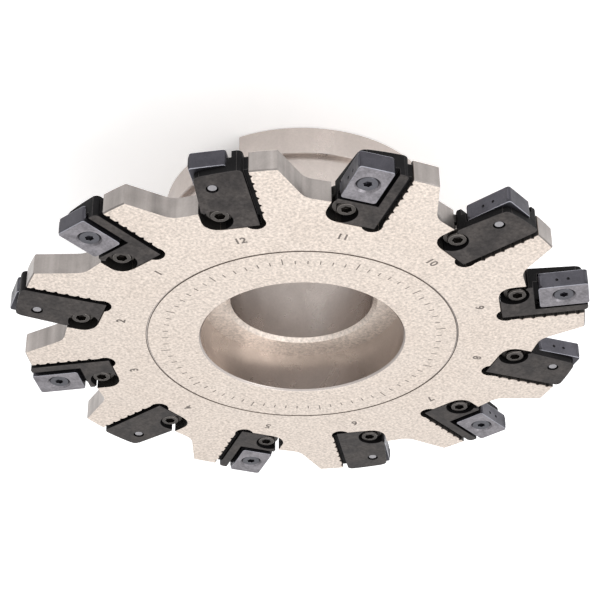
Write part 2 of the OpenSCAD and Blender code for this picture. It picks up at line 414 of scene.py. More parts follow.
def cut(piece, tool):
    """Takes the tool's shape out of the piece."""
    apply_modifier(piece, "BOOLEAN", operation="DIFFERENCE", object=tool, solver="EXACT")
    discard(tool)


def smooth(piece):
    """Shades the rounded edges smooth and keeps the large faces flat."""
    select_only(piece)
    bpy.ops.object.shade_smooth_by_angle(angle=SMOOTH_ANGLE)
    apply_modifier(piece, "WEIGHTED_NORMAL", keep_sharp=True, weight=80)


def outward(piece):
    """Welds the piece and turns its faces outwards."""
    edit(piece)
    bpy.ops.mesh.remove_doubles(threshold=1e-5)
    bpy.ops.mesh.normals_make_consistent(inside=False)
    select_only(piece)


def turned_piece(name, outline):
    """A turned solid: a disc extruded and resized along its outline's (radius, height) points."""
    select_only(None)
    radius, height = outline[0]
    bpy.ops.mesh.primitive_circle_add(
        vertices=TURNED_SIDES, radius=radius, location=(0, 0, height), fill_type="NGON"
    )
    piece = bpy.context.object
    piece.name = name
    edit(piece)
    for next_radius, next_height in outline[1:]:
        bpy.ops.mesh.extrude_region_move(
            TRANSFORM_OT_translate={"value": (0, 0, next_height - height)}
        )
        ratio = next_radius / radius
        bpy.ops.transform.resize(value=(ratio, ratio, 1), center_override=(0, 0, next_height))
        radius, height = next_radius, next_height
    select_only(piece)
    bpy.ops.object.transform_apply(location=True)
    outward(piece)
    return piece


def threaded(radius, start, end, pitch):
    """Outline points of a thread that runs up from start to end, with a chamfered end."""
    depth = 0.55 * pitch
    turns = int((end - start - pitch) / pitch)
    points = [(radius - depth, start), (radius, start + depth)]
    for turn in range(turns):
        foot = start + depth + turn * pitch
        points += [
            (radius, foot + 0.15 * pitch),
            (radius - depth, foot + 0.5 * pitch),
            (radius - depth, foot + 0.6 * pitch),
            (radius, foot + 0.95 * pitch),
        ]
    return points


def lobed_tool(radius, depth):
    """Cutting tool for a socket with six rounded lobes, standing on -depth."""
    lobes, waist, rounding = 6, 0.74, 0.17
    select_only(None)
    bpy.ops.mesh.primitive_circle_add(
        vertices=2 * lobes, radius=radius, location=(0, 0, -depth), fill_type="NGON"
    )
    tool = bpy.context.object
    select_only(tool)
    bpy.ops.object.transform_apply(location=True)
    edit(tool, "DESELECT")
    bpy.ops.mesh.select_mode(type="VERT")
    bpy.ops.object.mode_set(mode="OBJECT")
    for index, vertex in enumerate(tool.data.vertices):
        vertex.select = index % 2 == 1
    bpy.ops.object.mode_set(mode="EDIT")
    bpy.ops.transform.resize(value=(waist, waist, 1), center_override=(0, 0, -depth))
    bpy.ops.mesh.select_all(action="SELECT")
    bpy.ops.mesh.bevel(offset=rounding * radius, segments=3, affect="VERTICES")
    bpy.ops.mesh.select_all(action="SELECT")
    bpy.ops.mesh.extrude_region_move(TRANSFORM_OT_translate={"value": (0, 0, 2 * depth)})
    outward(tool)
    return tool


def hexagon_tool(radius, depth):
    """Cutting tool for a hexagon socket, standing on -depth."""
    select_only(None)
    bpy.ops.mesh.primitive_cylinder_add(vertices=6, radius=radius, depth=2 * depth)
    return bpy.context.object


def dress(piece, *materials):
    """Fills the piece's material slots."""
    piece.data.materials.clear()
    for material in materials:
        piece.data.materials.append(material)


def copy_of(pattern, name, matrix):
    """A copy of a piece with its own mesh, put in its place."""
    piece = pattern.copy()
    piece.data = pattern.data.copy()
    piece.name = name
    piece.data.name = name
    bpy.context.collection.objects.link(piece)
    piece.data.transform(matrix)
    return piece


def blank_from(node, name):
    """A CAD node's shape as a mesh to work on, in millimetres, its facets welded into whole faces."""
    piece = bpy.data.objects.new(name, frame["nodes"][node].data.copy())
    bpy.context.collection.objects.link(piece)
    piece.data.materials.clear()
    piece.data.transform(Matrix.Scale(1 / MM, 4))
    select_only(piece)
    bpy.ops.mesh.customdata_custom_splitnormals_clear()
    edit(piece)
    bpy.ops.mesh.remove_doubles(threshold=2e-3)
    bpy.ops.mesh.dissolve_limited(angle_limit=math.radians(0.4))
    select_only(piece)
    return piece


# ---------------------------------------------------------------- shader parts


def add_node(tree, kind, **settings):
    """A node with its properties set, and its inputs where the setting is a dict called values."""
    made = tree.nodes.new(kind)
    for key, value in settings.pop("values", {}).items():
        made.inputs[key].default_value = value
    for key, value in settings.items():
        setattr(made, key, value)
    return made


def new_group(name, inputs, outputs):
    """An empty shader node group: inputs are (name, socket type, default), outputs (name, socket type)."""
    tree = bpy.data.node_groups.new(name, "ShaderNodeTree")
    for label, kind, default in inputs:
        socket = tree.interface.new_socket(name=label, in_out="INPUT", socket_type=kind)
        if default is not None:
            socket.default_value = default
    for label, kind in outputs:
        tree.interface.new_socket(name=label, in_out="OUTPUT", socket_type=kind)
    return tree, tree.nodes.new("NodeGroupInput"), tree.nodes.new("NodeGroupOutput")


def about_one(tree, noise, contrast):
    """A shade that varies about 1 as the noise varies about its middle."""
    centred = add_node(tree, "ShaderNodeMath", operation="SUBTRACT", values={1: 0.5})
    tree.links.new(noise, centred.inputs[0])
    widened = add_node(tree, "ShaderNodeMath", operation="MULTIPLY", values={1: NOISE_SPREAD})
    tree.links.new(contrast, widened.inputs[0])
    shade = add_node(tree, "ShaderNodeMath", operation="MULTIPLY_ADD", values={2: 1.0})
    tree.links.new(centred.outputs[0], shade.inputs[0])
    tree.links.new(widened.outputs[0], shade.inputs[1])
    return shade.outputs[0]


def flattened(tree, vector):
    """The node that splits a vector, and the vector without its height."""
    split = add_node(tree, "ShaderNodeSeparateXYZ")
    tree.links.new(vector, split.inputs[0])
    flat = add_node(tree, "ShaderNodeCombineXYZ")
    for axis in "XY":
        tree.links.new(split.outputs[axis], flat.inputs[axis])
    return split, flat.outputs[0]


def shade_and_height(name, scale, default_scale, default_contrast, roughness, upright=False):
    """A group that turns one noise into a shade about 1 and a height; upright bands run along Z."""
    tree, into, out = new_group(
        name,
        [
            ("Vector", "NodeSocketVector", None),
            (scale, "NodeSocketFloat", default_scale),
            ("Contrast", "NodeSocketFloat", default_contrast),
        ],
        [("Shade", "NodeSocketFloat"), ("Height", "NodeSocketFloat")],
    )
    vector = into.outputs["Vector"]
    if upright:
        vector = flattened(tree, vector)[1]
    noise = add_node(tree, "ShaderNodeTexNoise", values={"Detail": 3.0, "Roughness": roughness})
    tree.links.new(vector, noise.inputs["Vector"])
    tree.links.new(into.outputs[scale], noise.inputs["Scale"])
    shade = about_one(tree, noise.outputs["Fac"], into.outputs["Contrast"])
    tree.links.new(shade, out.inputs["Shade"])
    tree.links.new(noise.outputs["Fac"], out.inputs["Height"])
    return tree


def speckle_group():
    """Fine mottled grain."""
    return shade_and_height("Speckle", "Grain", 1500.0, 0.1, 0.6)


def milling_group():
    """Upright bands that a side mill leaves on a wall."""
    return shade_and_height("Milling marks", "Band", 260.0, 0.2, 0.5, upright=True)


def handling_group():
    """Soft patches left by handling and cleaning, as a mask from 0 to 1."""
    tree, into, out = new_group(
        "Handling",
        [("Vector", "NodeSocketVector", None), ("Patch", "NodeSocketFloat", 60.0)],
        [("Mask", "NodeSocketFloat")],
    )
    patches = add_node(
        tree, "ShaderNodeTexNoise", values={"Detail": 4.0, "Roughness": 0.55, "Distortion": 0.6}
    )
    tree.links.new(into.outputs["Vector"], patches.inputs["Vector"])
    tree.links.new(into.outputs["Patch"], patches.inputs["Scale"])
    ramp = add_node(
        tree, "ShaderNodeMapRange", interpolation_type="SMOOTHSTEP",
        values={"From Min": 0.35, "From Max": 0.68},
    )
    tree.links.new(patches.outputs["Fac"], ramp.inputs["Value"])
    tree.links.new(ramp.outputs["Result"], out.inputs["Mask"])
    return tree


def turning_group():
    """Fine grooves that a lathe leaves: rings on a flat face, and lines round a wall, as a height."""
    tree, into, out = new_group(
        "Turning marks",
        [("Vector", "NodeSocketVector", None), ("Pitch", "NodeSocketFloat", 0.0003)],
        [("Height", "NodeSocketFloat")],
    )
    links = tree.links
    split, flat = flattened(tree, into.outputs["Vector"])
    radius = add_node(tree, "ShaderNodeVectorMath", operation="LENGTH")
    links.new(flat, radius.inputs[0])
    along = add_node(tree, "ShaderNodeMath", operation="ADD")
    links.new(radius.outputs["Value"], along.inputs[0])
    links.new(split.outputs["Z"], along.inputs[1])
    steps = add_node(tree, "ShaderNodeMath", operation="DIVIDE")
    links.new(along.outputs[0], steps.inputs[0])
    links.new(into.outputs["Pitch"], steps.inputs[1])
    uneven = add_node(
        tree, "ShaderNodeTexNoise", noise_dimensions="1D", values={"Scale": 1.0, "Detail": 3.0}
    )
    links.new(steps.outputs[0], uneven.inputs["W"])
    links.new(uneven.outputs["Fac"], out.inputs["Height"])
    return tree


GROUP_MAKERS = {
    "Speckle": speckle_group,
    "Handling": handling_group,
    "Turning marks": turning_group,
    "Milling marks": milling_group,
}


def group_node(tree, name, vector, **values):
    """Places a shared group in a material, making the group the first time."""
    made = tree.nodes.new("ShaderNodeGroup")
    made.node_tree = bpy.data.node_groups.get(name) or GROUP_MAKERS[name]()
    tree.links.new(vector, made.inputs["Vector"])
    for key, value in values.items():
        made.inputs[key].default_value = value
    return made


class Finish:
    """Builds one finish: colour by patches and grain, roughness by patches, and bump."""

    def __init__(self, name, colour, metallic):
        self.material = bpy.data.materials.new(name)
        self.material.use_nodes = True
        self.material.diffuse_color = (*colour, 1)
        self.tree = self.material.node_tree
        self.shader = self.tree.nodes["Principled BSDF"]
        self.shader.inputs["Metallic"].default_value = metallic
        self.vector = self.tree.nodes.new("ShaderNodeTexCoord").outputs["Object"]
        plain = self.tree.nodes.new("ShaderNodeRGB")
        plain.outputs[0].default_value = (*colour, 1)
        self.colour = plain.outputs[0]
        self.normal = None

    def patched(self, other, patch, amount):
        """Fades towards another colour in the handled patches."""
        mask = group_node(self.tree, "Handling", self.vector, Patch=patch)
        share = add_node(self.tree, "ShaderNodeMath", operation="MULTIPLY")
        share.inputs[1].default_value = amount
        self.tree.links.new(mask.outputs["Mask"], share.inputs[0])
        mix = add_node(self.tree, "ShaderNodeMix", data_type="RGBA")
        self.tree.links.new(share.outputs[0], mix.inputs[0])
        self.tree.links.new(self.colour, mix.inputs[6])
        mix.inputs[7].default_value = (*other, 1)
        self.colour = mix.outputs[2]
        return mask.outputs["Mask"]

    def shaded(self, shade):
        """Multiplies the colour by a shade that varies about 1."""
        scale = add_node(self.tree, "ShaderNodeVectorMath", operation="SCALE")
        self.tree.links.new(self.colour, scale.inputs[0])
        self.tree.links.new(shade, scale.inputs["Scale"])
        self.colour = scale.outputs[0]

    def rough_between(self, mask, low, high):
        span = add_node(self.tree, "ShaderNodeMapRange", values={"To Min": low, "To Max": high})
        self.tree.links.new(mask, span.inputs["Value"])
        self.tree.links.new(span.outputs["Result"], self.shader.inputs["Roughness"])

    def bumped(self, height, distance, strength):
        bump = add_node(self.tree, "ShaderNodeBump", values={"Strength": strength, "Distance": distance})
        self.tree.links.new(height, bump.inputs["Height"])
        if self.normal:
            self.tree.links.new(self.normal, bump.inputs["Normal"])
        self.normal = bump.outputs["Normal"]

    def done(self):
        self.tree.links.new(self.colour, self.shader.inputs["Base Color"])
        if self.normal:
            self.tree.links.new(self.normal, self.shader.inputs["Normal"])
        return self.material


def darker(colour, share):
    return tuple(c * share for c in colour)


def ground_nickel():
    """Satin nickel on the ground cutting face, with a fine mottled grain."""
    tone = colours().face
    finish = Finish("ground_nickel", tone, 1.0)
    mask = finish.patched(darker(tone, 0.9), 45.0, 0.55)
    grain = group_node(finish.tree, "Speckle", finish.vector, Grain=1300.0, Contrast=0.3)
    finish.shaded(grain.outputs["Shade"])
    finish.rough_between(mask, 0.4, 0.52)
    finish.bumped(grain.outputs["Height"], 0.00002, 0.35)
    rings = group_node(finish.tree, "Turning marks", finish.vector, Pitch=0.00035)
    finish.bumped(rings.outputs["Height"], 0.00001, 0.25)
    return finish.done()


def wall_nickel_painted_shade():
    """Nickel on the milled walls, in soft upright bands, painted much darker than the face as shade."""
    tone = colours().wall
    finish = Finish("wall_nickel_painted_shade", tone, 1.0)
    mask = finish.patched(darker(tone, 0.82), 90.0, 0.5)
    bands = group_node(finish.tree, "Milling marks", finish.vector, Band=300.0, Contrast=0.26)
    finish.shaded(bands.outputs["Shade"])
    grain = group_node(finish.tree, "Speckle", finish.vector, Grain=1800.0, Contrast=0.06)
    finish.shaded(grain.outputs["Shade"])
    finish.rough_between(mask, 0.32, 0.46)
    finish.bumped(bands.outputs["Height"], 0.00004, 0.4)
    return finish.done()


def bored_nickel():
    """Nickel in the bore and on the hub, with the fine lines of a lathe."""
    tone = colours().bore
    finish = Finish("bored_nickel", tone, 1.0)
    mask = finish.patched(darker(tone, 0.8), 70.0, 0.6)
    grain = group_node(finish.tree, "Speckle", finish.vector, Grain=1500.0, Contrast=0.05)
    finish.shaded(grain.outputs["Shade"])
    finish.rough_between(mask, 0.24, 0.36)
    rings = group_node(finish.tree, "Turning marks", finish.vector, Pitch=0.0004)
    finish.bumped(rings.outputs["Height"], 0.00002, 0.5)
    return finish.done()


def plain_metal(name, tone, roughness, grain_scale, contrast, metallic=1.0, wear=None):
    """A metal with handled patches and grain, for the smaller pieces and the rubbed edges."""
    finish = Finish(name, tone, metallic)
    mask = finish.patched(wear or darker(tone, 0.75), 180.0, 0.6)
    grain = group_node(finish.tree, "Speckle", finish.vector, Grain=grain_scale, Contrast=contrast)
    finish.shaded(grain.outputs["Shade"])
    finish.rough_between(mask, roughness - 0.06, roughness + 0.08)
    finish.bumped(grain.outputs["Height"], 0.00002, 0.3)
    return finish.done()


def black_oxide():
    """Black finish of the cassettes: brownish, a little rubbed on its faces."""
    tone = colours().cassette
    return plain_metal("black_oxide", tone, 0.44, 1100.0, 0.4, 0.85, wear=(0.10, 0.088, 0.082))


def etched_mark():
    """Grey of the etched numbers and ticks."""
    tone = colours().marks
    return plain_metal("etched_mark", tone, 0.6, 2500.0, 0.1, 0.9)


def floor_paint():
    """Pale floor, very slightly uneven, which glows a little, and less under the hub."""
    tone = colours().floor
    finish = Finish("pale_floor", tone, 0.0)
    finish.shader.inputs["Roughness"].default_value = 0.9
    finish.patched(darker(tone, 0.985), 3.0, 1.0)
    finish.shader.inputs["Emission Color"].default_value = (*tone, 1)
    from_axis = add_node(finish.tree, "ShaderNodeVectorMath", operation="LENGTH")
    finish.tree.links.new(finish.vector, from_axis.inputs[0])
    hub = CAD_HIGH.x / 2
    full = bpy.context.scene.cutter_stage.floor_glow
    glow = add_node(
        finish.tree, "ShaderNodeMapRange", interpolation_type="SMOOTHSTEP",
        values={"From Min": 0.7 * hub, "From Max": hub, "To Min": 0.4 * full, "To Max": full},
    )
    finish.tree.links.new(from_axis.outputs["Value"], glow.inputs["Value"])
    finish.tree.links.new(glow.outputs["Result"], finish.shader.inputs["Emission Strength"])
    return finish.done()


# ---------------------------------------------------------------- operators


class CUTTER_OT_body(bpy.types.Operator):
    """Finish the body: broken edges, its ground, milled and bored surfaces, and painted shade on its walls,
    pockets and ring groove
    """

    bl_idname = "cutter.body"
    bl_label = "Body"

    def execute(self, context):
        piece = blank_from("cutter_body", "finished_body")
        # The ring finish is painted shade in the fine groove.
        ring = plain_metal("ring_groove_painted_shade", colours().ring, 0.45, 1500.0, 0.08, 0.9)
        # The serrations and recess finishes are painted shade, near black in the pockets.
        serrated = plain_metal("serrations_painted_shade", colours().serrations, 0.55, 1500.0, 0.08, 0.15)
        recess = plain_metal("recess_painted_shade", colours().recess, 0.5, 1500.0, 0.15, 0.6)
        dress(piece, ground_nickel(), ring, wall_nickel_painted_shade(), bored_nickel(), serrated, recess)
        self.sort_surfaces(piece)
        # The ring's broken edges take the painted shade too, which widens the dark line.
        break_edges(piece, sizes().ring_edge, slot=RING_GROOVE_SHADE, wanted=self.in_ring)
        break_edges(piece, sizes().body_edge, wanted=lambda point: not self.in_ring(point))
        piece.data.transform(Matrix.Scale(MM, 4))
        smooth(piece)
        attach(piece, "cutter")
        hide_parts("cutter_body")
        return {"FINISHED"}

    def in_ring(self, point):
        """True on the fine ring turned in the cutting face."""
        return abs(math.hypot(point.x, point.y) - sizes().ring_radius) < 0.5

    def sort_surfaces(self, piece):
        """Gives each face the finish of its place on the body."""
        pockets = [self.pocket_frame(pocket) for pocket in range(POCKETS)]
        screw_seat = next(m for m in frame["record"]["mounts"] if m["name"] == "screw_counterbore")
        bored = screw_seat["dims"]["r_mm"] + 0.6
        face_height = cutting_face() / MM
        disc_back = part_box("cassette_01")[0].z / MM - 0.5
        for face in piece.data.polygons:
            at = face.center
            steep = abs(face.normal.z) < SIDE_WALL_SLOPE
            if at.z > face_height - 0.05:
                face.material_index = GROUND
            elif self.in_ring(at) and at.z > face_height - 1:
                face.material_index = RING_GROOVE_SHADE
            elif not steep and face_height / 2 < at.z < disc_back:
                face.material_index = GROUND
            elif math.hypot(at.x, at.y) < bored or at.z < disc_back:
                face.material_index = BORED
            elif not steep and at.z < disc_back + 1:
                face.material_index = GROUND
            else:
                face.material_index = self.wall_finish(at, pockets)

    def pocket_frame(self, pocket):
        """Turn back to the pocket's own axes, and the corner of its cassette there, in millimetres."""
        turn = FIRST_POCKET_TURN + pocket * PITCH
        low, high = turned_box(numbered("cassette", pocket), turn)
        return Matrix.Rotation(-turn, 4, "Z"), low / MM, high / MM

    def wall_finish(self, at, pockets):
        """A pocket's serrated walls and its plain recess are painted near black as shade; the gullets and
        rim take the milled finish, painted darker than the face as shade.
        """
        for back, low, high in pockets:
            local = back @ at
            along, across = local.x - low.x, local.y - low.y
            inside = INNER_WALL < along < high.x - low.x and TRAILING_WALL < across < LEADING_WALL
            if inside and local.x > 0:
                serrated = along > SERRATIONS_START and across < SERRATIONS_DEPTH
                return SERRATIONS_SHADE if serrated else RECESS_SHADE
        return WALLS_PAINTED_SHADE


class CUTTER_OT_cassettes(bpy.types.Operator):
    """Finish the twelve cassettes, of the two hands"""

    bl_idname = "cutter.cassettes"
    bl_label = "Cassettes"

    def execute(self, context):
        black = black_oxide()
        rubbed = plain_metal("rubbed_black", colours().cassette_edge, 0.38, 1600.0, 0.2, 0.9)
        # The side finish is painted shade, with its specular turned down so the sides stay near black.
        deep = plain_metal("deep_black", colours().cassette_side, 0.6, 1600.0, 0.2, 0.0)
        deep.node_tree.nodes["Principled BSDF"].inputs["Specular IOR Level"].default_value = 0.1
        patterns = []
        for hand in range(2):
            pattern = blank_from(numbered("cassette", hand), f"cassette_pattern_{hand}")
            dress(pattern, black, rubbed, deep)
            self.sort_faces(pattern)
            break_edges(pattern, sizes().cassette_edge, slot=1)
            smooth(pattern)
            patterns.append(pattern)
        for pocket in range(POCKETS):
            hand = pocket % 2
            turn = Matrix.Rotation((pocket - hand) * PITCH, 4, "Z")
            piece = copy_of(patterns[hand], numbered("cassette_block", pocket), turn @ Matrix.Scale(MM, 4))
            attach(piece, numbered("cassette", pocket))
            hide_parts(numbered("cassette", pocket))
        discard(*patterns)
        return {"FINISHED"}

    def sort_faces(self, pattern):
        """The two large faces are handled and brownish, and all the rest is painted near black as shade."""
        low, high = (corner.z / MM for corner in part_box("cassette_01"))
        for face in pattern.data.polygons:
            outer = min(abs(face.center.z - low), abs(face.center.z - high)) < 0.1
            face.material_index = 0 if outer else 2


class CUTTER_OT_inserts(bpy.types.Operator):
    """Model the carbide insert and put one in each cassette"""

    bl_idname = "cutter.inserts"
    bl_label = "Inserts"

    def execute(self, context):
        tone = colours()
        pattern = self.pattern(
            plain_metal(
                "ground_carbide", tone.insert, 0.36, 1500.0, 0.3, 0.95, wear=darker(tone.insert, 0.5)
            ),
            # Honed lands: a painted highlight.
            plain_metal("honed_edge_painted_highlight", tone.insert_edge, 0.3, 2200.0, 0.06, 1.0),
            # Ends and rake faces: painted shade.
            plain_metal("insert_ends_painted_shade", tone.insert_side, 0.42, 2200.0, 0.12, 0.9),
            plain_metal("insert_rake_painted_shade", tone.insert_rake, 0.4, 2200.0, 0.12, 0.9),
            # Dimples: painted shade in their hollows.
            plain_metal("dimple_painted_shade", darker(tone.insert_side, 0.3), 0.5, 2200.0, 0.12, 0.6),
        )
        for pocket in range(POCKETS):
            node = numbered("insert", pocket)
            place = pocket_place(node, pocket, not cuts_on_face(pocket))
            piece = copy_of(pattern, numbered("carbide_insert", pocket), place)
            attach(piece, numbered("cassette", pocket))
            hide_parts(node)
        discard(pattern)
        return {"FINISHED"}

    def pattern(self, *finishes):
        """A block with rounded corners, hollow rake faces with two dimples, and a countersunk hole."""
        length, width, height = local_size("insert_01")
        select_only(None)
        bpy.ops.mesh.primitive_cube_add(size=1, location=(0, 0, -height / 2))
        pattern = bpy.context.object
        pattern.name = "insert_pattern"
        edit(pattern)
        bpy.ops.transform.resize(value=(length, width, height), center_override=(0, 0, -height / 2))
        select_only(pattern)
        bpy.ops.object.transform_apply(location=True)
        choose(pattern, "edges", self.upright)
        bpy.ops.mesh.bevel(offset=sizes().insert_corner, segments=6, affect="EDGES", clamp_overlap=False)
        select_only(pattern)
        dress(pattern, *finishes)
        for face in pattern.data.polygons:
            face.material_index = self.finish_of(face.normal)
        # The honed lands take the painted highlight.
        break_edges(pattern, sizes().insert_edge, slot=HONED_HIGHLIGHT, angle=40)
        choose(pattern, "faces", lambda mesh, f: abs(f.normal.y) > 0.99)
        bpy.ops.mesh.inset(thickness=RAKE_LAND, depth=0, use_individual=True)
        bpy.ops.mesh.inset(thickness=RAKE_SLOPE, depth=-sizes().rake_depth, use_individual=True)
        choose(pattern, "faces", lambda mesh, f: f.normal.z > 0.99)
        bpy.ops.mesh.inset(thickness=FACE_LAND, depth=0)
        bpy.ops.mesh.inset(thickness=FACE_SLOPE, depth=-FACE_DROP)
        select_only(pattern)
        self.drill(pattern, height)
        self.dimple(pattern, width, height)
        smooth(pattern)
        return pattern

    def finish_of(self, normal):
        """Ground on the outer face; the rake faces and the rest are painted darker as shade, the rake faces
        a little less.
        """
        if normal.z > 0.5:
            return GROUND
        return RAKE_SHADE if abs(normal.y) > 0.99 else ENDS_SHADE

    def upright(self, mesh, edge):
        a, b = (mesh.vertices[i].co for i in edge.vertices)
        return abs((b - a).normalized().z) > 0.99

    def drill(self, pattern, height):
        """Cuts the screw hole and its countersink, with a chamfer where it meets the face."""
        hole = 1.75
        head = sizes().countersink_radius
        outline = [(hole, -height - 1), (hole, -1.7), (head, -0.3), (head + 0.9, 0.6)]
        cut(pattern, turned_piece("insert_drill", outline))

    def dimple(self, pattern, width, height):
        """Presses two round dimples into each rake face, and paints them dark as shade."""
        radius = sizes().dimple_radius
        floor = width / 2 - sizes().rake_depth
        for side in (-1, 1):
            for along in (-0.5, 0.5):
                place = Vector((along * sizes().dimple_spacing, side * floor, -height / 2))
                select_only(None)
                bpy.ops.mesh.primitive_uv_sphere_add(
                    segments=20, ring_count=10, radius=radius, location=place
                )
                cut(pattern, bpy.context.object)
                # The dimple faces get the painted shade.
                for face in pattern.data.polygons:
                    if (face.center - place).length < radius * 1.01 and abs(face.center.y) < floor - 0.005:
                        face.material_index = DIMPLES_SHADE


class CUTTER_OT_insert_screws(bpy.types.Operator):
    """Model the countersunk insert screw and put one through each insert"""

    bl_idname = "cutter.insert_screws"
    bl_label = "Insert screws"

    def execute(self, context):
        steel = plain_metal("insert_screw_steel", colours().insert_screw, 0.34, 2600.0, 0.12, 1.0)
        # The edge finish is a painted highlight on the screws' broken edges.
        edge_highlight = plain_metal("insert_screw_painted_highlight", darker(colours().insert_edge, 0.8), 0.3, 2600.0, 0.1, 1.0)
        # The end finish is a painted glint on the screws' end faces.
        end = plain_metal("screw_end_painted_glint", colours().screw_end_painted_glint, 0.3, 2600.0, 0.1, 0.8)
        height = local_size("insert_screw_01").z
        head, thread, rim, cone = 2.62, 1.5, 0.18, 1.25
        end_radius, lead_in = 1.15, 0.45
        outline = [(end_radius, -height)]
        outline += threaded(thread, lead_in - height, -cone, sizes().thread_pitch)
        outline += [(thread, -cone), (head, -rim), (head, -0.12), (head - 0.12, 0)]
        pattern = turned_piece("insert_screw_pattern", outline)
        dress(pattern, steel, edge_highlight, end)
        for face in pattern.data.polygons:
            # The end faces get the painted glint.
            face.material_index = 2 if face.center.z < 0.1 - height else 0
        cut(pattern, lobed_tool(1.3, 1.1))
        # The broken edges get the painted highlight.
        break_edges(pattern, 0.05, slot=1, angle=50)
        smooth(pattern)
        for pocket in range(POCKETS):
            node = numbered("insert_screw", pocket)
            place = pocket_place(node, pocket, not cuts_on_face(pocket))
            piece = copy_of(pattern, numbered("lobed_screw", pocket), place)
            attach(piece, numbered("cassette", pocket))
            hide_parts(node)
        discard(pattern)
        return {"FINISHED"}


class CUTTER_OT_setting_screws(bpy.types.Operator):
    """Model the flanged adjusting screw and put one in each pocket's round recess"""

    bl_idname = "cutter.setting_screws"
    bl_label = "Adjusting screws"

    def execute(self, context):
        steel = plain_metal("setting_screw_steel", colours().setting_screw, 0.36, 2600.0, 0.16, 1.0)
        # The edge finish is a painted highlight on the screws' broken edges.
        edge_highlight = plain_metal("setting_screw_painted_highlight", darker(colours().setting_screw, 3), 0.3, 2600.0, 0.1, 1.0)
        height = local_size("adjusting_screw_01").z
        head, flange, thread = 2.6, 3.6, 1.6
        flange_top, flange_back, chamfer, rim = -1.1, -2.2, 0.3, 0.1
        outline = threaded(thread, -height, flange_back, sizes().thread_pitch)
        outline += [
            (thread - 0.2, flange_back - 0.02),
            (thread - 0.2, flange_back),
            (flange - rim, flange_back),
            (flange, flange_back + rim),
            (flange, flange_top - rim),
            (flange - rim, flange_top),
            (head, flange_top),
            (head, -chamfer),
            (head - chamfer, 0),
        ]
        pattern = turned_piece("setting_screw_pattern", outline)
        dress(pattern, steel, edge_highlight)
        cut(pattern, hexagon_tool(1.5, 1.4))
        # The broken edges get the painted highlight.
        break_edges(pattern, 0.05, slot=1, angle=40)
        smooth(pattern)
        for pocket in range(POCKETS):
            node = numbered("adjusting_screw", pocket)
            piece = copy_of(pattern, numbered("setting_screw", pocket), pocket_place(node, pocket, False))
            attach(piece, node)
            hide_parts(node)
        discard(pattern)
        return {"FINISHED"}


class CUTTER_OT_marks(bpy.types.Operator):
    """Etch the pocket numbers and the ring of ticks on the cutting face"""

    bl_idname = "cutter.marks"
    bl_label = "Numbers and ticks"

    def execute(self, context):
        ink = etched_mark()
        face = cutting_face() / MM
        numbers = [self.number(pocket, face) for pocket in range(POCKETS)]
        ticks = self.ticks(face)
        for name, parts in (("pocket_numbers", numbers), ("face_scale", ticks)):
            select_only(parts[0])
            for part in parts:
                part.select_set(True)
            bpy.ops.object.join()
            piece = bpy.context.object
            piece.name = name
            dress(piece, ink)
            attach(piece, "cutter")
        return {"FINISHED"}

    def number(self, pocket, face):
        """One pocket's number, its foot towards the axis."""
        select_only(None)
        bpy.ops.object.text_add()
        text = bpy.context.object
        text.data.body = str(pocket + 1)
        text.data.size = sizes().number_height
        text.data.align_x = "CENTER"
        text.data.align_y = "CENTER"
        text.data.extrude = sizes().mark_height
        text.data.offset = 0.1
        text.data.resolution_u = 4
        bpy.ops.object.convert(target="MESH")
        piece = bpy.context.object
        angle = FIRST_POCKET_TURN + POCKET_LEAN + pocket * PITCH
        outwards = Matrix.Rotation(angle, 4, "Z")
        aside = Matrix.Translation((sizes().number_radius, NUMBER_ASIDE, face))
        upright = Matrix.Rotation(-math.pi / 2, 4, "Z")
        piece.data.transform(Matrix.Scale(MM, 4) @ outwards @ aside @ upright)
        return piece

    def ticks(self, face):
        """A plain ring scale, with a long tick at even steps."""
        parts = []
        for index in range(sizes().tick_count):
            length = TICK_LENGTH if index % TICKS_TO_LONG else LONG_TICK
            select_only(None)
            bpy.ops.mesh.primitive_cube_add(size=1)
            tick = bpy.context.object
            edit(tick)
            bpy.ops.transform.resize(value=(length, TICK_WIDTH, 2 * sizes().mark_height))
            select_only(tick)
            turn = Matrix.Rotation(index * 2 * math.pi / sizes().tick_count, 4, "Z")
            place = turn @ Matrix.Translation((sizes().tick_radius + length / 2, 0, face))
            tick.data.transform(Matrix.Scale(MM, 4) @ place)
            parts.append(tick)
        return parts


